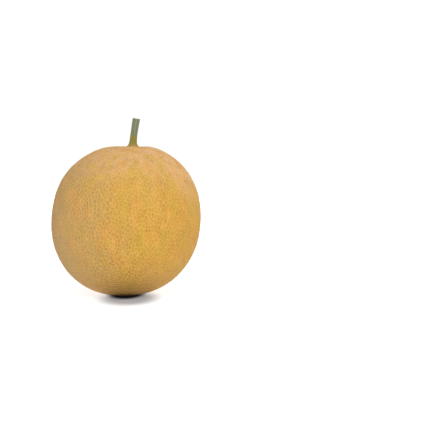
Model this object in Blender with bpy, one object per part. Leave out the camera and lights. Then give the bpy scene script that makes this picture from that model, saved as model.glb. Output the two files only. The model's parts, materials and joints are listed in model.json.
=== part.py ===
"""A netted cantaloupe melon, as picked, resting on the small flat spot at its blossom end.

It has two pieces: the fruit, which grew as one body, and the cut stem that stands on its crown.
Lengths are in metres and angles in degrees, with +Z up. The origin is on the resting surface,
under the middle of the fruit.
"""

import math

import bmesh
import bpy

# The fruit is a turned outline, then made a little oval and leaned.
FRUIT_RADIUS = 0.0739  # at the widest level
LOWER_HEIGHT = 0.0750  # from the resting surface to the widest level
UPPER_HEIGHT = 0.0750  # from the widest level to where the crown would peak without its dip
FULLNESS = 2.16  # 2 gives an ellipse, and more gives squarer shoulders
OVAL_SWELL = 0.0005  # how far the long axis of the widest level stands out, and the short one in
OVAL_TURN = 35.0  # from +X to the long axis
FRUIT_LEAN = 1.8  # of the fruit's own axis, towards +X
REST_RADIUS = 0.0135  # of the flat spot that the fruit rests on
CROWN_DIP = 0.0028  # how far the crown sinks around the stem
CROWN_DIP_RADIUS = 0.015

# The stem stands on a flat seat in the crown.
STEM_X = 0.0059
STEM_Y = 0.0014
STEM_LENGTH = 0.0275
STEM_RADIUS = 0.0035
STEM_WAIST = 0.0002  # how far the middle of the stem is drawn in
FOOT_RADIUS = 0.0062  # where the stem spreads out to meet the fruit
FOOT_HEIGHT = 0.0018  # over which that spread dies away
RIDGE_COUNT = 5
RIDGE_HEIGHT = 0.00025
STEM_LEAN = 5.5  # towards +X, where the stem leaves the fruit
STEM_CURL = 0.0014  # how much further over the top end hangs than a straight stem's would
CUT_SLANT = 9.0  # of the cut end, down towards +X
SEAT_MARGIN = 0.0006  # of the flat seat around the stem's foot
CLEARANCE = 0.0003  # between the seat and the stem

# Mesh density
FRUIT_SEGMENTS = 60
FRUIT_RINGS = 24  # in each half
STEM_SEGMENTS = 40
STEM_RINGS = 14
STEM_RING_CROWDING = 1.5  # over 1 puts the stem's rings closer together towards its foot
CROWN_SHIFT_POWER = 4  # how quickly the crown's rings slide from the fruit's axis to the stem's
SHARP_ANGLE = 30.0  # edges that turn by more than this are shaded as edges

SEAT_RADIUS = FOOT_RADIUS + SEAT_MARGIN


def material(name, colour, roughness):
    """A Principled material with one colour, as (red, green, blue) in linear values."""
    made = bpy.data.materials.new(name)
    made.use_nodes = True
    shader = made.node_tree.nodes["Principled BSDF"]
    shader.inputs["Base Color"].default_value = (*colour, 1.0)
    shader.inputs["Roughness"].default_value = roughness
    shader.inputs["Metallic"].default_value = 0.0
    return made


def turned(name, outline, segments, skin):
    """A solid turned about Z from an outline of (radius, height) points, with flat ends."""
    bm = bmesh.new()
    verts = [bm.verts.new((radius, 0.0, height)) for radius, height in outline]
    edges = [bm.edges.new(pair) for pair in zip(verts, verts[1:])]
    bmesh.ops.spin(
        bm,
        geom=verts + edges,
        axis=(0.0, 0.0, 1.0),
        cent=(0.0, 0.0, 0.0),
        angle=math.tau,
        steps=segments,
        use_merge=True,
    )
    bmesh.ops.holes_fill(bm, edges=[edge for edge in bm.edges if edge.is_boundary])
    bmesh.ops.recalc_face_normals(bm, faces=bm.faces)
    mesh = bpy.data.meshes.new(name)
    bm.to_mesh(mesh)
    bm.free()
    mesh.materials.append(skin)
    mesh.shade_smooth()
    mesh.set_sharp_from_angle(angle=math.radians(SHARP_ANGLE))
    made = bpy.data.objects.new(name, mesh)
    bpy.context.scene.collection.objects.link(made)
    return made


def reshape(piece, move):
    """Moves every vertex of a piece to where move(x, y, z) puts it."""
    for vertex in piece.data.vertices:
        vertex.co = move(*vertex.co)
    piece.data.update()


def rise(radius, reach):
    """How far the outline is above or below the widest level, on a half with so long a reach."""
    share = min(radius / FRUIT_RADIUS, 1.0) ** FULLNESS
    return reach * (1.0 - share) ** (1.0 / FULLNESS)


def half_outline(inner_radius):
    """Radii from the widest level in to inner_radius, closer together where the wall is steep."""
    widest_angle = math.pi / 2.0
    inner_angle = math.asin((inner_radius / FRUIT_RADIUS) ** (FULLNESS / 2.0))
    for step in range(FRUIT_RINGS + 1):
        angle = widest_angle + (inner_angle - widest_angle) * step / FRUIT_RINGS
        yield FRUIT_RADIUS * math.sin(angle) ** (2.0 / FULLNESS)


def crown_height(radius):
    """The height of the fruit's upper half, at a radius from the stem."""
    dip = CROWN_DIP * math.exp(-((radius / CROWN_DIP_RADIUS) ** 2))
    return LOWER_HEIGHT + rise(radius, UPPER_HEIGHT) - dip


def fruit_outline():
    """From the edge of the flat spot, out over the widest level, and up to the stem's seat."""
    lower_reach = LOWER_HEIGHT / rise(REST_RADIUS, 1.0)
    lower = [(radius, LOWER_HEIGHT - rise(radius, lower_reach)) for radius in half_outline(REST_RADIUS)]
    upper = [(radius, crown_height(radius)) for radius in half_outline(SEAT_RADIUS)]
    return lower[::-1] + upper[1:]


def grown_fruit(x, y, z):
    """Makes the turned fruit oval, leans it, and slides the crown over to the stem."""
    radius = math.hypot(x, y)
    turn = 2.0 * (math.atan2(y, x) - math.radians(OVAL_TURN))
    swell = 1.0 + OVAL_SWELL / FRUIT_RADIUS * math.cos(turn)
    lean = (z - LOWER_HEIGHT) * math.tan(math.radians(FRUIT_LEAN))
    shift = 0.0
    if z > LOWER_HEIGHT:
        shift = ((FRUIT_RADIUS - radius) / (FRUIT_RADIUS - SEAT_RADIUS)) ** CROWN_SHIFT_POWER
    centre_x = lean + shift * (STEM_X - lean)
    centre_y = shift * STEM_Y
    return centre_x + x * swell, centre_y + y * swell, z


def build_fruit():
    rind = material("rind", (0.64, 0.40, 0.12), 0.6)
    fruit = turned("melon_fruit", fruit_outline(), FRUIT_SEGMENTS, rind)
    reshape(fruit, grown_fruit)
    return fruit


def stem_outline():
    """From the spread foot up to the cut end, with a slight waist."""
    for step in range(STEM_RINGS + 1):
        share = (step / STEM_RINGS) ** STEM_RING_CROWDING
        height = STEM_LENGTH * share
        foot = (FOOT_RADIUS - STEM_RADIUS) * math.exp(-height / FOOT_HEIGHT)
        waist = STEM_WAIST * math.sin(math.pi * share)
        yield STEM_RADIUS + foot - waist, height


def grown_stem(x, y, z):
    """Raises the ridges along the turned stem, slants its cut end and leans it over.

    The curl grows with the square of the height, and the slant stays close to the cut end.
    """
    ridge = 1.0 + RIDGE_HEIGHT / STEM_RADIUS * math.cos(RIDGE_COUNT * math.atan2(y, x))
    along = z / STEM_LENGTH
    lean = z * math.tan(math.radians(STEM_LEAN)) + STEM_CURL * along**2
    slant = -x * math.tan(math.radians(CUT_SLANT)) * along**4
    return x * ridge + lean, y * ridge, z + slant


def build_stem(fruit):
    fibre = material("stem", (0.24, 0.26, 0.15), 0.75)
    stem = turned("melon_stem", stem_outline(), STEM_SEGMENTS, fibre)
    reshape(stem, grown_stem)
    stem.location = (STEM_X, STEM_Y, crown_height(SEAT_RADIUS) + CLEARANCE)
    stem.parent = fruit


def main():
    for old in list(bpy.data.objects):
        bpy.data.objects.remove(old, do_unlink=True)
    fruit = build_fruit()
    build_stem(fruit)


main()
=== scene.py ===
"""The looks of a netted cantaloupe melon: its rind with the corky net, its stem, and a white studio.

The rind and the stem each replace their plain CAD node. Lengths are in metres unless a name says
otherwise. The rind's and the stem's colours are written in sRGB steps of 255, and the studio's in
linear values.
"""

import json
import math
from collections import Counter

import bmesh
import bpy
import numpy as np
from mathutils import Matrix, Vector, geometry, noise
from mathutils.bvhtree import BVHTree


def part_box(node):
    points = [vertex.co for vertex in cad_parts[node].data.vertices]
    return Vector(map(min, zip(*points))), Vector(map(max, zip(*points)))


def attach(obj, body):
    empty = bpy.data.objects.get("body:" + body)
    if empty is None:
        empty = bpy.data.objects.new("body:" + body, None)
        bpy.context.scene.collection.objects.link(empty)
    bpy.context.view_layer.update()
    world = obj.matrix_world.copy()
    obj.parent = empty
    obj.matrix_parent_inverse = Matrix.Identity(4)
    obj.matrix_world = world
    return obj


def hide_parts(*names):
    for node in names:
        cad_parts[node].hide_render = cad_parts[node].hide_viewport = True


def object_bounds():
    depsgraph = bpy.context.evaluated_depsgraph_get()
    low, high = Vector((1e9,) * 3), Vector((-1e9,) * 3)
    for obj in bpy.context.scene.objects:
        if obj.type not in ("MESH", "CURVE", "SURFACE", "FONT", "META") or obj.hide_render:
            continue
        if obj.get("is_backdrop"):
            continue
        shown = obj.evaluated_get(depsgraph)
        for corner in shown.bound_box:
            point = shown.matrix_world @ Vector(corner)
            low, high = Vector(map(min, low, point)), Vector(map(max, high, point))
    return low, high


MM = 0.001

# Net: the corky ridges that divide the rind into cells
SEED = 11
CELL_COUNT = 6400
SEED_SHAKE = 0.30  # of the distance between cells
SHORTEST_EDGE = 0.9 * MM
RIDGE_STEP = 2.3 * MM  # between points along a ridge
RIDGE_SWAY = 0.08  # how far a ridge bends aside, of its length
TALL_CELLS = 0.15  # half of how much taller than wide the cells are around the fruit's middle
WARPS = ((26.0 * MM, 2.2 * MM), (9.0 * MM, 1.1 * MM), (3.6 * MM, 0.4 * MM))  # (size, how far)

# Ridges: each has a strength from 0 to 1, which sets how high, wide and corky it is
USUAL_STRENGTH = 0.60
STRENGTH_SPREAD = 0.36  # at random, from one ridge to the next
STRENGTH_PATCHES = (24.0 * MM, 0.30)  # (size, how much)
UPRIGHT_GAIN = 0.34  # how much stronger an upright ridge is than a level one
FADED_SHARE = 0.16  # of the ridges hardly stand out
FADED_STRENGTH = 0.3  # of what such a ridge would have had
WEAKEST = 0.05
RIDGE_HEIGHT = 0.31 * MM
HEIGHT_POWER = 0.8  # under 1 keeps the weaker ridges closer in height to the strongest
HEIGHT_UNEVENNESS = (2.4 * MM, 0.35)  # (size, share)
RIDGE_HALF_WIDTH = (0.34 * MM, 0.70 * MM)  # on the weakest ridge and on the strongest
WIDTH_UNEVENNESS = (2.6 * MM, 0.50)
SHOULDER_SHARE = 0.5  # how far out the ridge's shoulder is, of its half width
SHOULDER_HEIGHT = 0.84  # of the crest
WIDEST_FOOT = 0.45  # how far in from its edge a cell's ridges may reach, of the way to its middle
FOOT_DEPTH = 0.07 * MM  # of the crease at the foot of a ridge
CELL_DOME = 0.05 * MM
SKIN_INSET = 0.05 * MM  # how far under the CAD surface the rind lies, so that the net averages to it
SWELLS = ((34.0 * MM, 0.40 * MM), (13.0 * MM, 0.12 * MM))  # (size, height) of soft unevenness
CROWN_CALM = (5.0 * MM, 14.0 * MM)  # from the stem: the net is faint within the first distance
CROWN_FAINTNESS = 0.45  # how much weaker it is there

# Which part of the endless noise each use of it reads
PATCH_NOISE = 4
WARP_NOISE = 5
WIDTH_NOISE = 9
HEIGHT_NOISE = 10
SWELL_NOISE = 20

# Blossom scar, in the middle of the flat spot
SCAR_RADIUS = 4.2 * MM
SCAR_DEPTH = 0.9 * MM

# Stem
STEM_SEGMENTS = 120
STEM_RINGS = 72
STEM_RING_CROWDING = 1.15  # over 1 puts the rings closer together towards the foot
STEM_TOP_MARGIN = 0.4 * MM  # how far the cut's middle is under the CAD stem's highest point
STEM_SINK = 1.8 * MM  # how far the stem's foot reaches down into the rind
STEM_RADIUS = 3.5 * MM
STEM_WAIST = 0.2 * MM
STEM_SPREAD = 2.9 * MM  # how much wider the foot is
STEM_SPREAD_HEIGHT = 1.7 * MM
STEM_LEAN = 5.5  # degrees, towards +X
STEM_CURL = 1.4 * MM
STEM_CUT_SLANT = 9.0  # degrees, down towards +X
STEM_CUT_DISH = 0.45 * MM
# From the cut's rim inwards: (share of the stem's radius, share of the dish's depth)
STEM_CUT_RINGS = ((0.93, -0.2), (0.84, 0.35), (0.72, 0.75), (0.56, 0.9), (0.36, 1.0), (0.16, 0.8))
STEM_TWIST = 14.0  # degrees, of the ribs from foot to cut
RIB_COUNT = 5
RIB_HEIGHT = 0.55 * MM
RIB_SHARPNESS = 1.5
RIB_SUNK_SHARE = 0.4  # of a rib's height is inside the stem's radius
FIBRE_HEIGHT = 0.10 * MM
FIBRE_COUNT = 5.0  # for each radian around the stem
FIBRE_LENGTH = 9.0 * MM

# Camera: in front of the fruit, to its right and above its middle, looking slightly down
LENS_MM = 85.0
SENSOR_MM = 36.0
CAMERA_DISTANCE = 1.0153  # from the point that it looks at
CAMERA_SIDE = 0.0885
CAMERA_AIM_HEIGHT = 0.0795
CAMERA_ELEVATION = 4.0  # degrees

# Studio: a white table that also glows a little, as a light table does
BRIGHTEST_SIDE = (0.44, -0.76, 0.47)  # of the studio around the melon
STUDIO_LIGHT = 0.55  # from all sides alike
STUDIO_TILT = 0.57  # how much more comes from the brightest side, and less from the opposite one
BACKDROP = 1.0  # how bright the camera sees the studio
KEY_POWER = 20.0  # watts
KEY_PLACE = (0.25, -1.45, 1.25)
KEY_SIZE = (1.2, 1.2)
BACK_POWER = 20.0
BACK_PLACE = (0.20, 1.80, 0.50)
BACK_SIZE = (1.6, 0.9)
LIT_POINT = (0.0, 0.0, 0.07)  # that both softboxes face
TABLE_HALF = 3.0
TABLE_GLOW = 0.75
TABLE_WHITE = 0.45
# The table's shadows are painted into its colour, not cast: a deep one at the contact and a soft one in
# front
SOFT_PAINTED_SHADOW = (0.165, 0.160, 0.162, 1.0)
DEEP_PAINTED_SHADOW = (0.003, 0.003, 0.003, 1.0)
DEEP_SHADE = (12.5 * MM, 22.0 * MM)  # from the shade's middle: darkest table, and plain table
DEEP_SHADE_MIDDLE = Vector((2.0 * MM, 0.0, 0.0))  # from the contact
DEEP_SHADE_STRETCH = (1.0, 0.50, 1.0)  # makes the shade longer towards the front and back
SOFT_SHADE = (14.0 * MM, 39.0 * MM)
SOFT_SHADE_MIDDLE = Vector((7.0 * MM, -32.0 * MM, 0.0))
SOFT_SHADE_STRETCH = (1.0, 0.63, 1.0)

RNG = np.random.default_rng(SEED)
noise.seed_set(SEED)  # noise_vector reads a different part of the noise in each run without this


# ---------------------------------------------------------------- small helpers


def unit(vectors):
    """Each row of an array, made one long."""
    return vectors / np.linalg.norm(vectors, axis=-1, keepdims=True)


def noise_shift(number):
    return Vector((number, 2.3 * number, -1.7 * number))


def noise_at(points, size, number=0):
    """Smooth noise from -1 to 1 at each point, with features of the given size."""
    shift = noise_shift(number)
    return np.array([noise.noise(Vector(p) / size + shift) for p in points])


def noise_vectors(points, size, number=0):
    """A smooth random vector at each point, with features of the given size."""
    shift = noise_shift(number)
    return np.array([noise.noise_vector(Vector(p) / size + shift) for p in points])


def smooth_step(low, high, value):
    share = np.clip((value - low) / (high - low), 0.0, 1.0)
    return share * share * (3.0 - 2.0 * share)


def mesh_piece(name, points, faces, attributes, material):
    """A smooth-shaded mesh that rides the root body, with named float attributes on its points."""
    mesh = bpy.data.meshes.new(name)
    mesh.from_pydata([tuple(p) for p in points], [], faces)
    for label, values in attributes.items():
        layer = mesh.attributes.new(label, "FLOAT", "POINT")
        layer.data.foreach_set("value", np.asarray(values, np.float32))
    mesh.shade_smooth()
    mesh.materials.append(material)
    made = bpy.data.objects.new(name, mesh)
    bpy.context.scene.collection.objects.link(made)
    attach(made, "root")
    return made


# ---------------------------------------------------------------- the CAD surface


def smooth_skin(node):
    """A search tree over a CAD node's surface, with its facets rounded off."""
    bm = bmesh.new()
    bm.from_mesh(node.data)
    bmesh.ops.remove_doubles(bm, verts=bm.verts, dist=0.01 * MM)
    mesh = bpy.data.meshes.new("skin_guide")
    bm.to_mesh(mesh)
    bm.free()
    guide = bpy.data.objects.new("skin_guide", mesh)
    bpy.context.scene.collection.objects.link(guide)
    rounding = guide.modifiers.new("rounding", "SUBSURF")
    rounding.levels = 2
    tree = BVHTree.FromObject(guide, bpy.context.evaluated_depsgraph_get())
    bpy.data.objects.remove(guide, do_unlink=True)
    bpy.data.meshes.remove(mesh)
    return tree


def reach(tree, centre, directions):
    """How far the skin is from the centre along each direction."""
    return np.array([tree.ray_cast(centre, Vector(d))[3] for d in directions])


# ---------------------------------------------------------------- the net's layout


def even_directions(count):
    """Directions spread evenly in a golden-angle spiral, then shaken a little."""
    index = np.arange(count) + 0.5
    height = 1.0 - 2.0 * index / count
    turn = index * math.pi * (3.0 - math.sqrt(5.0))
    ring = np.sqrt(1.0 - height**2)
    even = np.stack([ring * np.cos(turn), ring * np.sin(turn), height], axis=1)
    spacing = math.sqrt(4.0 * math.pi / count)
    return unit(even + RNG.normal(size=even.shape) * SEED_SHAKE * spacing)


def neighbour_triangles(seeds):
    """The triangles that join neighbouring seeds, as rising triples of seed numbers, in order.

    The other seeds are laid out flat, as seen from the last one across the sphere, which keeps
    neighbours the same. The last seed's own triangles stand on the flat layout's outer edges.
    """
    pole = seeds[-1]
    side = unit(np.cross(pole, (0.3, 0.5, 0.8)))
    up = np.cross(pole, side)
    rest = seeds[:-1]
    flat = np.stack([rest @ side, rest @ up], axis=1) / (1.0 - rest @ pole)[:, None]
    laid = geometry.delaunay_2d_cdt([Vector(point) for point in flat], [], [], 0, 1e-9)
    number = [origins[0] for origins in laid[3]]
    triangles = [tuple(sorted(number[i] for i in face)) for face in laid[2]]
    sides = Counter(pair for a, b, c in triangles for pair in ((a, b), (b, c), (a, c)))
    triangles += [(*pair, len(rest)) for pair, uses in sides.items() if uses == 1]
    return np.array(sorted(triangles))


def voronoi(seeds):
    """The corners of the cells around the seeds, and each cell as a ring of corner numbers."""
    triangles = neighbour_triangles(seeds)
    a, b, c = (seeds[triangles[:, i]] for i in range(3))
    corners = unit(np.cross(b - a, c - a))
    corners *= np.sign((corners * a).sum(axis=1))[:, None]
    around = [[] for _ in seeds]
    for corner, triangle in enumerate(triangles):
        for seed in triangle:
            around[seed].append(corner)
    cells = []
    for seed, found in zip(seeds, around):
        side = unit(np.cross(seed, (0.3, 0.5, 0.8)))
        out = corners[found] - seed
        angle = np.arctan2(out @ np.cross(seed, side), out @ side)
        cells.append([found[i] for i in np.argsort(angle)])
    return corners, [cell for cell in cells if len(cell) > 2]


def pairs(ring):
    """Each item of a ring with the one after it."""
    return zip(ring, ring[1:] + ring[:1])


def merge_close(corners, cells, shortest):
    """Joins corners that are closer than the shortest edge, and drops what collapses."""
    joined = list(range(len(corners)))

    def kept(i):
        while joined[i] != i:
            i = joined[i]
        return i

    for cell in cells:
        for a, b in pairs(cell):
            if np.linalg.norm(corners[a] - corners[b]) < shortest:
                joined[kept(a)] = kept(b)
    left, index = np.unique([kept(i) for i in range(len(corners))], return_inverse=True)
    merged = np.zeros((len(left), 3))
    np.add.at(merged, index, corners)
    rings = []
    for cell in cells:
        ring = [int(index[i]) for i in cell]
        ring = [a for a, b in pairs(ring) if a != b]
        if len(ring) > 2:
            rings.append(ring)
    return unit(merged), rings


def warped(directions, size):
    """The directions after the net is stretched upwards at its middle and pulled about."""
    height = np.arcsin(np.clip(directions[:, 2], -1.0, 1.0))
    taller = height + TALL_CELLS * np.sin(2.0 * height)
    flat = unit(directions[:, :2] + 1e-9)
    moved = np.concatenate([flat * np.cos(taller)[:, None], np.sin(taller)[:, None]], axis=1)
    for number, (grain, pull) in enumerate(WARPS):
        moved = unit(moved + noise_vectors(moved * size, grain, WARP_NOISE + number) * pull / size)
    return moved


def ridge_strength(middle, along, size):
    """How strongly a ridge has grown, from 0 to 1: more in some places, and more upright."""
    grain, patchiness = STRENGTH_PATCHES
    patch = noise.noise(Vector(middle) * size / grain + noise_shift(PATCH_NOISE))
    chance = STRENGTH_SPREAD * RNG.uniform(-1.0, 1.0)
    upright = UPRIGHT_GAIN * (abs(along[2]) - 0.5)
    strength = USUAL_STRENGTH + chance + patchiness * patch + upright
    if RNG.random() < FADED_SHARE:
        strength *= FADED_STRENGTH
    return float(np.clip(strength, WEAKEST, 1.0))


def bent_points(start, end, size):
    """The points along a ridge between its two corners, swayed to one side and the other."""
    along = end - start
    length = np.linalg.norm(along)
    side = unit(np.cross(start, along))
    count = max(1, round(length * size / RIDGE_STEP))
    for step in range(1, count):
        sway = side * RNG.normal() * RIDGE_SWAY * length
        yield unit(start + along * step / count + sway)


def split_ridges(corners, cells, size):
    """Adds points along each ridge between two corners.

    Returns all the crest's points as directions, their strengths, and the cells' rings of points.
    """
    points = list(corners)
    strengths = [0.0] * len(corners)
    between = {}
    rings = []
    for cell in cells:
        ring = []
        for a, b in pairs(cell):
            if (b, a) not in between:
                start, end = corners[a], corners[b]
                strength = ridge_strength((start + end) / 2.0, unit(end - start), size)
                first = len(points)
                points += bent_points(start, end, size)
                between[(a, b)] = list(range(first, len(points)))
                strengths += [strength] * (len(points) - first)
                for corner in (a, b):
                    strengths[corner] = max(strengths[corner], strength)
            ring.append(a)
            ring += between[(a, b)] if (a, b) in between else between[(b, a)][::-1]
        rings.append(ring)
    return np.array(points), np.array(strengths), rings


# ---------------------------------------------------------------- the net's relief


def cell_points(edge, width):
    """The ridge's shoulder and foot inside a cell's edge, and the middle of the cell's outline.

    Every point moves straight towards the middle, which keeps the rings apart. Also returns the
    share of its width that each ridge has room for.
    """
    spans = np.linalg.norm(edge - np.roll(edge, 1, axis=0), axis=1)
    spans += np.roll(spans, -1)
    middle = (edge * spans[:, None]).sum(axis=0) / spans.sum()
    into = middle - edge
    along = unit(np.roll(edge, -1, axis=0) - edge)
    off_side = np.linalg.norm(np.cross(into, along), axis=1)
    nearest = np.minimum(off_side, np.roll(off_side, 1))
    room = np.minimum(WIDEST_FOOT * nearest / width, 1.0)
    across = into * (room * width / nearest)[:, None]
    return np.concatenate([edge + across * SHOULDER_SHARE, edge + across, middle[None]]), room


def cell_faces(ring, first):
    """Faces from a cell's edge in over the shoulder and foot to its middle."""
    count = len(ring)
    middle = first + 2 * count
    faces = []
    for i in range(count):
        j = (i + 1) % count
        shoulder, next_shoulder = first + i, first + j
        foot, next_foot = first + count + i, first + count + j
        faces.append((ring[i], ring[j], next_shoulder, shoulder))
        faces.append((shoulder, next_shoulder, next_foot, foot))
        faces.append((foot, next_foot, middle))
    return faces


def calm_near_stem(crest, strengths, stem_foot):
    """The strengths, weakened around the stem."""
    near = np.hypot(crest[:, 0] - stem_foot[0], crest[:, 1] - stem_foot[1])
    calm = np.where(crest[:, 2] > 0.0, 1.0 - smooth_step(*CROWN_CALM, near), 0.0)
    return strengths * (1.0 - CROWN_FAINTNESS * calm)


def unevenness(points, grain_and_share, number):
    """A factor around 1 at each point, from noise with the given grain and share."""
    grain, share = grain_and_share
    return 1.0 + share * noise_at(points, grain, number)


def crest_lines(size, stem_foot):
    """The net's crest points on a sphere of the given size, with their strengths and rings.

    A second round of cells, around the middles of the first, evens out their sizes.
    """
    corners, cells = voronoi(even_directions(CELL_COUNT))
    corners, cells = voronoi(unit(np.array([corners[cell].mean(axis=0) for cell in cells])))
    corners, cells = merge_close(corners, cells, SHORTEST_EDGE / size)
    points, strengths, rings = split_ridges(corners, cells, size)
    crest = warped(points, size) * size
    return crest, calm_near_stem(crest, strengths, stem_foot), rings


def net_mesh(size, stem_foot):
    """The whole net around a sphere of the given size.

    Returns each point's direction, the faces, each point's height above the skin, and two
    attributes from 0 to 1: how much cork the point has, and how deep in a crease it lies.
    """
    crest, strengths, rings = crest_lines(size, stem_foot)
    narrow, wide = RIDGE_HALF_WIDTH
    widths = (narrow + (wide - narrow) * strengths) * unevenness(crest, WIDTH_UNEVENNESS, WIDTH_NOISE)
    heights = RIDGE_HEIGHT * strengths**HEIGHT_POWER * unevenness(crest, HEIGHT_UNEVENNESS, HEIGHT_NOISE)

    places, faces, height, cork, crease = [crest], [], [heights], [strengths], [0.0 * strengths]
    first = len(crest)
    for ring in rings:
        inside, room = cell_points(crest[ring], widths[ring])
        places.append(inside)
        faces += cell_faces(ring, first)
        first += len(inside)
        own, tall = strengths[ring], heights[ring]
        filled = 1.0 - room
        shoulder = tall * (1.0 - (1.0 - SHOULDER_HEIGHT) * room)
        foot = tall * filled - FOOT_DEPTH * own * room
        height += [shoulder, foot, [CELL_DOME + np.mean(tall * filled)]]
        cork += [own, own * filled, [np.mean(own * filled)]]
        crease += [0.0 * own, own * room, [0.0]]
    joined = [np.concatenate(part) for part in (height, cork, crease)]
    return unit(np.concatenate(places)), faces, *joined


def build_rind(material):
    """The fruit's whole outside, with the net as real ridges, standing on the resting surface."""
    low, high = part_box("melon_fruit")
    centre = (low + high) / 2.0
    size = (high.x - low.x) / 2.0
    tree = smooth_skin(frame["nodes"]["melon_fruit"])
    stem_foot = stem_foot_centre() - np.array(centre)
    directions, faces, height, cork, crease = net_mesh(size, stem_foot)
    distance = reach(tree, centre, directions) - SKIN_INSET + height
    for number, (grain, swell) in enumerate(SWELLS):
        distance += noise_at(directions * size, grain, SWELL_NOISE + number) * swell
    points = np.array(centre) + directions * distance[:, None]

    rest = frame["record"]["mounts"][0]["pos_m"]
    off_scar = np.hypot(points[:, 0] - rest[0], points[:, 1] - rest[1])
    hollow = SCAR_DEPTH * (1.0 - smooth_step(0.5 * SCAR_RADIUS, SCAR_RADIUS, off_scar))
    hollow[points[:, 2] > centre.z] = 0.0
    points[:, 2] = np.maximum(points[:, 2], 0.0) + hollow
    rind = mesh_piece("rind", points, faces, {"cork": cork, "crease": crease}, material)
    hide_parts("melon_fruit")


# ---------------------------------------------------------------- the stem


def stem_foot_centre():
    """The middle of the CAD stem's lowest ring."""
    points = np.array([v.co for v in frame["nodes"]["melon_stem"].data.vertices])
    lowest = points[points[:, 2] < points[:, 2].min() + 0.05 * MM]
    return (lowest.min(axis=0) + lowest.max(axis=0)) / 2.0


def stem_rib(angle, share):
    """How far up a rib is, from 0 between ribs to 1 on one."""
    turned = RIB_COUNT * (angle + math.radians(STEM_TWIST) * share)
    return ((1.0 + math.cos(turned)) / 2.0) ** RIB_SHARPNESS


def stem_fibre(angle, height):
    """How far fine uneven fibres along the stem stand out or in, around 0."""
    x, y = FIBRE_COUNT * math.cos(angle), FIBRE_COUNT * math.sin(angle)
    place = Vector((x, y, height / FIBRE_LENGTH))
    return noise.noise(place) + 0.5 * noise.noise(place * 2.1)


def stem_radius(angle, height, share):
    spread = STEM_SPREAD * math.exp(-max(height, 0.0) / STEM_SPREAD_HEIGHT)
    waist = STEM_WAIST * math.sin(math.pi * share)
    ribs = RIB_HEIGHT * (stem_rib(angle, share) - RIB_SUNK_SHARE)
    return STEM_RADIUS + spread - waist + ribs + FIBRE_HEIGHT * stem_fibre(angle, height)


def leaned(x, y, z, length):
    """A stem point after the cut is slanted and the stem is leaned and curled over."""
    along = max(z, 0.0) / length
    slant = -x * math.tan(math.radians(STEM_CUT_SLANT)) * along**4
    lean = z * math.tan(math.radians(STEM_LEAN)) + STEM_CURL * along**2
    return x + lean, y, z + slant


def stem_rings(length):
    """The stem's rings from foot to cut, then in over the cut, as (height, inset, cut) each."""
    for step in range(STEM_RINGS + 1):
        share = (step / STEM_RINGS) ** STEM_RING_CROWDING
        yield share * (length + STEM_SINK) - STEM_SINK, 1.0, 0.0
    for inset, dish in STEM_CUT_RINGS:
        yield length - dish * STEM_CUT_DISH, inset, 1.0


def ring_faces(ring_count, segment_count):
    """Quads between neighbouring rings of points, and one face over each end."""
    faces = []
    for ring in range(ring_count - 1):
        for segment in range(segment_count):
            a = ring * segment_count + segment
            b = ring * segment_count + (segment + 1) % segment_count
            faces.append((a, b, b + segment_count, a + segment_count))
    faces.append(tuple(range(segment_count))[::-1])
    faces.append(tuple(range((ring_count - 1) * segment_count, ring_count * segment_count)))
    return faces


def build_stem(material):
    """A ribbed stem with a spread foot and a slanted, dished cut end."""
    low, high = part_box("melon_stem")
    length = high.z - low.z - STEM_TOP_MARGIN
    base = stem_foot_centre()
    points, ribs, cuts = [], [], []
    for height, inset, cut in stem_rings(length):
        share = max(height, 0.0) / length
        for segment in range(STEM_SEGMENTS):
            angle = math.tau * segment / STEM_SEGMENTS
            radius = stem_radius(angle, height, share) * inset
            x, y = radius * math.cos(angle), radius * math.sin(angle)
            points.append(base + leaned(x, y, height, length))
            ribs.append(stem_rib(angle, share))
            cuts.append(cut)
    faces = ring_faces(len(points) // STEM_SEGMENTS, STEM_SEGMENTS)
    stem = mesh_piece("stem", points, faces, {"rib": ribs, "cut": cuts}, material)
    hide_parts("melon_stem")


# ---------------------------------------------------------------- materials


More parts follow.
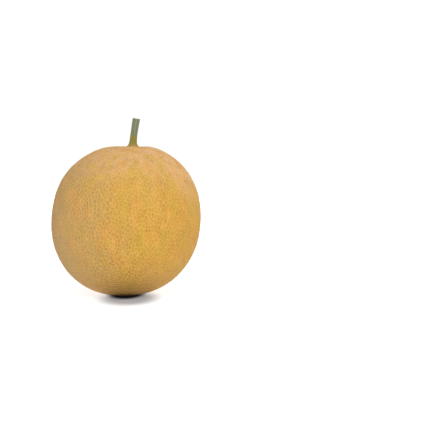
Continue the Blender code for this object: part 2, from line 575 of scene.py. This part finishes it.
class Nodes:
    """Short calls for building a material's nodes."""

    def __init__(self, name):
        self.material = bpy.data.materials.new(name)
        self.material.use_nodes = True
        self.tree = self.material.node_tree
        self.shader = self.tree.nodes["Principled BSDF"]
        self.place = self.add("ShaderNodeTexCoord").outputs["Object"]

    def add(self, kind, **settings):
        node = self.tree.nodes.new(kind)
        for name, value in settings.items():
            setattr(node, name, value)
        return node

    def put(self, socket, value):
        """Links an output to the socket, or sets the socket to a plain value."""
        if isinstance(value, bpy.types.NodeSocket):
            self.tree.links.new(value, socket)
        else:
            socket.default_value = value

    def stretched(self, stretch):
        if stretch == (1.0, 1.0, 1.0):
            return self.place
        made = self.add("ShaderNodeMapping")
        self.put(made.inputs["Vector"], self.place)
        made.inputs["Scale"].default_value = stretch
        return made.outputs[0]

    def noise(self, size, detail=2.0, roughness=0.5, stretch=(1.0, 1.0, 1.0)):
        """Cloudy noise around 0.5."""
        made = self.add("ShaderNodeTexNoise")
        self.put(made.inputs["Vector"], self.stretched(stretch))
        made.inputs["Scale"].default_value = 1.0 / size
        made.inputs["Detail"].default_value = detail
        made.inputs["Roughness"].default_value = roughness
        return made.outputs[0]

    def cells(self, size, feature, stretch=(1.0, 1.0, 1.0)):
        """The distance to the nearest cell's middle or edge, in shares of a cell."""
        made = self.add("ShaderNodeTexVoronoi", feature=feature)
        self.put(made.inputs["Vector"], self.stretched(stretch))
        made.inputs["Scale"].default_value = 1.0 / size
        return made.outputs["Distance"]

    def away(self, centre, stretch):
        """How far each point is from a centre, in stretched space."""
        made = self.add("ShaderNodeVectorMath", operation="DISTANCE")
        self.put(made.inputs[0], self.stretched(stretch))
        made.inputs[1].default_value = [side * share for side, share in zip(centre, stretch)]
        return made.outputs["Value"]

    def attribute(self, name):
        return self.add("ShaderNodeAttribute", attribute_name=name).outputs["Fac"]

    def math(self, operation, a, b=0.0):
        made = self.add("ShaderNodeMath", operation=operation)
        self.put(made.inputs[0], a)
        self.put(made.inputs[1], b)
        return made.outputs[0]

    def ramp(self, value, low, high, to_low=0.0, to_high=1.0):
        """Maps low..high smoothly to to_low..to_high."""
        made = self.add("ShaderNodeMapRange", interpolation_type="SMOOTHSTEP")
        self.put(made.inputs["Value"], value)
        made.inputs["From Min"].default_value = low
        made.inputs["From Max"].default_value = high
        made.inputs["To Min"].default_value = to_low
        made.inputs["To Max"].default_value = to_high
        return made.outputs["Result"]

    def mix(self, factor, a, b):
        made = self.add("ShaderNodeMix", data_type="RGBA")
        self.put(made.inputs["Factor"], factor)
        self.put(made.inputs[6], a)
        self.put(made.inputs[7], b)
        return made.outputs[2]

    def coordinate(self, axis):
        parts = self.add("ShaderNodeSeparateXYZ")
        self.put(parts.inputs[0], self.place)
        return parts.outputs["XYZ".index(axis)]

    def tinted(self, colour, value, none, full, strength, tint):
        """The colour with a tint over it, from none at one value to its full strength at another."""
        return self.mix(self.ramp(value, none, full, 0.0, strength), colour, tint)

    def bump(self, height, distance, strength, under=None):
        made = self.add("ShaderNodeBump")
        made.inputs["Strength"].default_value = strength
        made.inputs["Distance"].default_value = distance
        self.put(made.inputs["Height"], height)
        if under is not None:
            self.put(made.inputs["Normal"], under)
        return made.outputs["Normal"]


def rgb(red, green, blue):
    """A colour in linear values, from sRGB steps of 255."""
    shares = [step / 255.0 for step in (red, green, blue)]
    return (*[((share + 0.055) / 1.055) ** 2.4 for share in shares], 1.0)


# Rind colours
# Painted shade: the greyer gold towards -X
SHADED_SIDE_GOLD = rgb(169, 135, 78)
GOLD = rgb(187, 138, 48)
# Painted light on the crown and on the upper shoulder at +X
CROWN_PAINTED_LIGHT = rgb(204, 165, 134)
SHOULDER_PAINTED_LIGHT = rgb(217, 172, 136)
BAND_OLIVE = rgb(176, 145, 38)
BAND_ORANGE = rgb(196, 134, 54)
MOTTLE_OLIVE = rgb(166, 137, 46)
MOTTLE_ORANGE = rgb(200, 138, 62)
BLOOM_LIGHT = rgb(206, 158, 70)
BLOOM_DARK = rgb(158, 117, 42)
# Painted shade low on the fruit
LOWER_PAINTED_SHADE = rgb(162, 120, 66)
# Painted light in the lowest part of the fruit
UNDERSIDE_PAINTED_LIGHT = rgb(208, 158, 98)
FLECK_BROWN = rgb(128, 96, 32)
GRAIN_BROWN = rgb(157, 117, 44)
# Painted shade in the creases at the foot of the ridges
CREASE_PAINTED_SHADE = rgb(147, 109, 40)
CORK_DARK = rgb(186, 143, 64)
CORK_LIGHT = rgb(204, 162, 84)
# Painted shade over skin and net alike towards -X
SIDE_PAINTED_SHADE = rgb(172, 145, 120)

# Stem colours
FIBRE_DARK = rgb(88, 93, 64)
FIBRE_LIGHT = rgb(118, 122, 94)
RIB_GREY = rgb(134, 138, 110)
STEM_OLIVE = rgb(124, 116, 34)
FOOT_TAN = rgb(160, 120, 60)
CUT_GREY = rgb(140, 142, 112)

# Where each painted light or shade on the rind starts, and where it has its full strength
CROWN_LIGHT_SPAN = (0.104, 0.146)  # heights
SHOULDER_LIGHT_SPAN = (0.140, 0.185)  # height plus distance towards +X
LOWER_SHADE_SPAN = (0.045, 0.0)
UNDERSIDE_LIGHT_SPAN = (0.016, 0.0)
SIDE_SHADE_SPAN = (-0.005, -0.072)  # along X

# Where each tint of the stem starts and is full, above the stem's foot
OLIVE_ZONE = (16.5 * MM, 9.5 * MM)
FOOT_ZONE = (4.6 * MM, 2.4 * MM)

NET_COVER = 0.55  # how much of the ground's colour the strongest cork hides
SKIN_ROUGHNESS = 0.52
CORK_ROUGHNESS = 0.80
RIND_SPECULAR = 0.28

# Stretches of patterns: under 1 makes them longer that way
UPRIGHT = (1.0, 1.0, 0.45)
TALL_FLECKS = (1.0, 1.0, 0.62)
ALONG_STEM = (1.0, 1.0, 0.10)


def painted_top_light(n, colour, x, z):
    """Painted light: paler and warmer towards the crown, most of all on the upper shoulder at +X, which
    faces the light.
    """
    colour = n.tinted(colour, z, *CROWN_LIGHT_SPAN, 0.90, CROWN_PAINTED_LIGHT)
    return n.tinted(colour, n.math("ADD", x, z), *SHOULDER_LIGHT_SPAN, 0.72, SHOULDER_PAINTED_LIGHT)


def patch_tints(n, colour, mottle):
    """Upright bands, smaller mottles and blooms, each olive or dark one way and warm the other."""
    bands = n.noise(13.0 * MM, 2.0, 0.5, UPRIGHT)
    blooms = n.noise(7.0 * MM, 1.0, 0.5, UPRIGHT)
    colour = n.tinted(colour, bands, 0.50, 0.66, 0.55, BAND_OLIVE)
    colour = n.tinted(colour, bands, 0.46, 0.34, 0.55, BAND_ORANGE)
    colour = n.tinted(colour, mottle, 0.52, 0.68, 0.35, MOTTLE_OLIVE)
    colour = n.tinted(colour, mottle, 0.46, 0.32, 0.30, MOTTLE_ORANGE)
    colour = n.tinted(colour, blooms, 0.52, 0.72, 0.40, BLOOM_LIGHT)
    return n.tinted(colour, blooms, 0.48, 0.28, 0.40, BLOOM_DARK)


def ground_colour(n, fine):
    """The skin between the ridges: golden, greyer towards -X in painted shade, with upright patches and
    flecks.
    """
    x, z = n.coordinate("X"), n.coordinate("Z")
    patches = n.noise(34.0 * MM, 3.0, 0.5, UPRIGHT)
    mottle = n.noise(5.0 * MM, 3.0, 0.55, UPRIGHT)
    # Painted shade: greyer towards -X, its edge broken up by large patches
    side = n.math("ADD", n.math("MULTIPLY", x, 9.0), n.math("MULTIPLY", patches, 2.0))
    colour = n.mix(n.ramp(side, 0.5, 1.5), SHADED_SIDE_GOLD, GOLD)
    colour = painted_top_light(n, colour, x, z)
    colour = patch_tints(n, colour, mottle)
    # Painted shade: browner in the lowest 45 mm
    colour = n.tinted(colour, z, *LOWER_SHADE_SPAN, 0.65, LOWER_PAINTED_SHADE)
    # Painted light: paler in the lowest 16 mm, making up for the dark painted shadow on the table
    # beneath
    colour = n.tinted(colour, z, *UNDERSIDE_LIGHT_SPAN, 0.85, UNDERSIDE_PAINTED_LIGHT)
    flecks = n.cells(2.9 * MM, "F1", TALL_FLECKS)
    dark = n.math("MULTIPLY", n.ramp(flecks, 0.28, 0.12), n.ramp(mottle, 0.42, 0.60))
    colour = n.mix(n.math("MULTIPLY", dark, 0.55), colour, FLECK_BROWN)
    return n.tinted(colour, fine, 0.62, 0.75, 0.25, GRAIN_BROWN)


def rind_bump(n, net):
    """Fine cracks and pores all over, and a rough grain on the cork."""
    crackle = n.ramp(n.cells(1.9 * MM, "DISTANCE_TO_EDGE"), 0.0, 0.16)
    pores = n.noise(0.9 * MM, 1.0)
    grain = n.math("MULTIPLY", n.noise(0.5 * MM, 2.0, 0.6), net)
    normal = n.bump(crackle, 0.04 * MM, 0.5)
    normal = n.bump(pores, 0.06 * MM, 0.5, normal)
    return n.bump(grain, 0.18 * MM, 0.8, normal)


def rind_material():
    """Golden skin under a paler, rougher net of cork, with painted shade in the creases at the net's
    foot.
    """
    n = Nodes("rind")
    fine = n.noise(1.5 * MM, 2.0, 0.6)
    cork = n.attribute("cork")
    crease = n.attribute("crease")
    # Painted shade: darker the deeper in a crease at a ridge's foot
    ground = n.mix(n.math("MULTIPLY", crease, 0.40), ground_colour(n, fine), CREASE_PAINTED_SHADE)

    ragged = n.math("ADD", cork, n.math("MULTIPLY", n.math("SUBTRACT", fine, 0.5), 0.6))
    net = n.ramp(ragged, 0.12, 0.48)
    cork_colour = n.mix(n.ramp(fine, 0.35, 0.65), CORK_DARK, CORK_LIGHT)
    colour = n.mix(n.math("MULTIPLY", net, NET_COVER), ground, cork_colour)
    # Painted shade: skin and net alike greyer towards -X
    colour = n.tinted(colour, n.coordinate("X"), *SIDE_SHADE_SPAN, 0.28, SIDE_PAINTED_SHADE)
    n.put(n.shader.inputs["Base Color"], colour)
    n.put(n.shader.inputs["Roughness"], n.ramp(net, 0.0, 1.0, SKIN_ROUGHNESS, CORK_ROUGHNESS))
    n.shader.inputs["Specular IOR Level"].default_value = RIND_SPECULAR
    n.put(n.shader.inputs["Normal"], rind_bump(n, net))
    return n.material


def stem_material():
    """Grey-green above, olive lower down, and the rind's colour where the foot spreads out."""
    n = Nodes("stem")
    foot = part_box("melon_stem")[0].z
    fibres = n.noise(1.0 * MM, 3.0, 0.6, ALONG_STEM)
    blotches = n.noise(2.6 * MM, 2.0)
    height = n.math("ADD", n.coordinate("Z"), n.math("MULTIPLY", blotches, 4.0 * MM))
    height = n.math("SUBTRACT", height, foot)
    colour = n.mix(fibres, FIBRE_DARK, FIBRE_LIGHT)
    colour = n.mix(n.math("MULTIPLY", n.attribute("rib"), 0.35), colour, RIB_GREY)
    colour = n.tinted(colour, height, *OLIVE_ZONE, 1.0, STEM_OLIVE)
    colour = n.tinted(colour, height, *FOOT_ZONE, 1.0, FOOT_TAN)
    colour = n.mix(n.math("MULTIPLY", n.attribute("cut"), 0.85), colour, CUT_GREY)
    n.put(n.shader.inputs["Base Color"], colour)
    n.put(n.shader.inputs["Roughness"], n.ramp(fibres, 0.3, 0.7, 0.62, 0.82))
    n.put(n.shader.inputs["Normal"], n.bump(fibres, 0.25 * MM, 0.8))
    return n.material


def floor_material(contact):
    """A matt white table that glows, with a painted deep shadow at the contact and a painted soft one in
    front.
    """
    n = Nodes("studio_floor")
    deep = n.ramp(n.away(contact + DEEP_SHADE_MIDDLE, DEEP_SHADE_STRETCH), *DEEP_SHADE)
    soft = n.ramp(n.away(contact + SOFT_SHADE_MIDDLE, SOFT_SHADE_STRETCH), *SOFT_SHADE)
    colour = n.mix(soft, SOFT_PAINTED_SHADOW, (TABLE_WHITE, TABLE_WHITE, TABLE_WHITE, 1.0))
    colour = n.mix(deep, DEEP_PAINTED_SHADOW, colour)
    n.put(n.shader.inputs["Base Color"], colour)
    n.put(n.shader.inputs["Emission Color"], colour)
    n.shader.inputs["Emission Strength"].default_value = TABLE_GLOW / TABLE_WHITE
    n.shader.inputs["Roughness"].default_value = 0.5
    n.shader.inputs["Specular IOR Level"].default_value = 0.0
    return n.material


# ---------------------------------------------------------------- studio


def build_floor():
    half = TABLE_HALF
    mesh = bpy.data.meshes.new("studio_floor")
    corners = [(-half, -half, 0.0), (half, -half, 0.0), (half, half, 0.0), (-half, half, 0.0)]
    mesh.from_pydata(corners, [], [(0, 1, 2, 3)])
    mesh.materials.append(floor_material(Vector(frame["record"]["mounts"][0]["pos_m"])))
    floor = bpy.data.objects.new("studio_floor", mesh)
    bpy.context.scene.collection.objects.link(floor)
    floor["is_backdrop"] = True


def build_world():
    """A white studio that gives more light from the front and above than from behind.

    Its light from a direction is the even light, plus the tilt times how squarely that direction
    points at the brightest side. The camera sees the studio equally bright all round.
    """
    world = bpy.data.worlds.new("studio")
    bpy.context.scene.world = world
    world.use_nodes = True
    tree = world.node_tree
    place = tree.nodes.new("ShaderNodeTexCoord")
    share = tree.nodes.new("ShaderNodeVectorMath")
    share.operation = "DOT_PRODUCT"
    share.inputs[1].default_value = BRIGHTEST_SIDE
    tree.links.new(place.outputs["Generated"], share.inputs[0])
    light = tree.nodes.new("ShaderNodeMath")
    light.operation = "MULTIPLY_ADD"
    light.inputs[1].default_value = STUDIO_TILT
    light.inputs[2].default_value = STUDIO_LIGHT
    tree.links.new(share.outputs["Value"], light.inputs[0])
    path = tree.nodes.new("ShaderNodeLightPath")
    strength = tree.nodes.new("ShaderNodeMapRange")
    tree.links.new(light.outputs[0], strength.inputs["To Min"])
    strength.inputs["To Max"].default_value = BACKDROP
    tree.links.new(path.outputs["Is Camera Ray"], strength.inputs["Value"])
    background = tree.nodes["Background"]
    background.inputs["Color"].default_value = (1.0, 1.0, 1.0, 1.0)
    tree.links.new(strength.outputs[0], background.inputs["Strength"])


def softbox(name, place, size, power):
    """A wide white lamp that faces the melon and that the camera doesn't see."""
    light = bpy.data.lights.new(name, "AREA")
    light.shape = "RECTANGLE"
    light.size, light.size_y = size
    light.energy = power
    lamp = bpy.data.objects.new(name, light)
    lamp.location = place
    lamp.rotation_euler = (Vector(LIT_POINT) - Vector(place)).to_track_quat("-Z", "Y").to_euler()
    lamp.visible_camera = False
    bpy.context.scene.collection.objects.link(lamp)
    return lamp


def build_lights():
    softbox("key_softbox", KEY_PLACE, KEY_SIZE, KEY_POWER)
    fill = softbox("back_softbox", BACK_PLACE, BACK_SIZE, BACK_POWER)
    fill.visible_glossy = False


def build_camera():
    camera = bpy.data.cameras.new("camera")
    camera.lens = LENS_MM
    camera.sensor_width = SENSOR_MM
    made = bpy.data.objects.new("camera", camera)
    slope = math.radians(CAMERA_ELEVATION)
    back = Vector((0.0, -math.cos(slope), math.sin(slope)))
    made.location = Vector((CAMERA_SIDE, 0.0, CAMERA_AIM_HEIGHT)) + back * CAMERA_DISTANCE
    made.rotation_euler = (-back).to_track_quat("-Z", "Y").to_euler()
    bpy.context.scene.collection.objects.link(made)
    bpy.context.scene.camera = made


def write_sizes(cad):
    """Lays the whole's box as it was loaded beside its box as it is now, as plain lists; they are not
    kept.
    """
    sizes = {"cad": cad, "visual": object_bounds()}
    plain = {name: [list(corner) for corner in box] for name, box in sizes.items()}


with open("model.json") as file:
    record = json.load(file)
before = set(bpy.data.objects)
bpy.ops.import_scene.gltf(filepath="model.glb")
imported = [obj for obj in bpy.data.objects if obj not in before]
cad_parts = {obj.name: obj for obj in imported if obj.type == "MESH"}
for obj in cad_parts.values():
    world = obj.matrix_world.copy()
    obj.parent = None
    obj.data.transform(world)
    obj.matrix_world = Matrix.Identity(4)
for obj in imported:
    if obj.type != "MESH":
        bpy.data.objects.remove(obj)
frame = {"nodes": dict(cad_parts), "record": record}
cad_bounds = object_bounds()
bpy.context.scene.view_settings.view_transform = "Standard"
build_rind(rind_material())
build_stem(stem_material())
build_floor()
build_world()
build_lights()
build_camera()
write_sizes(cad_bounds)
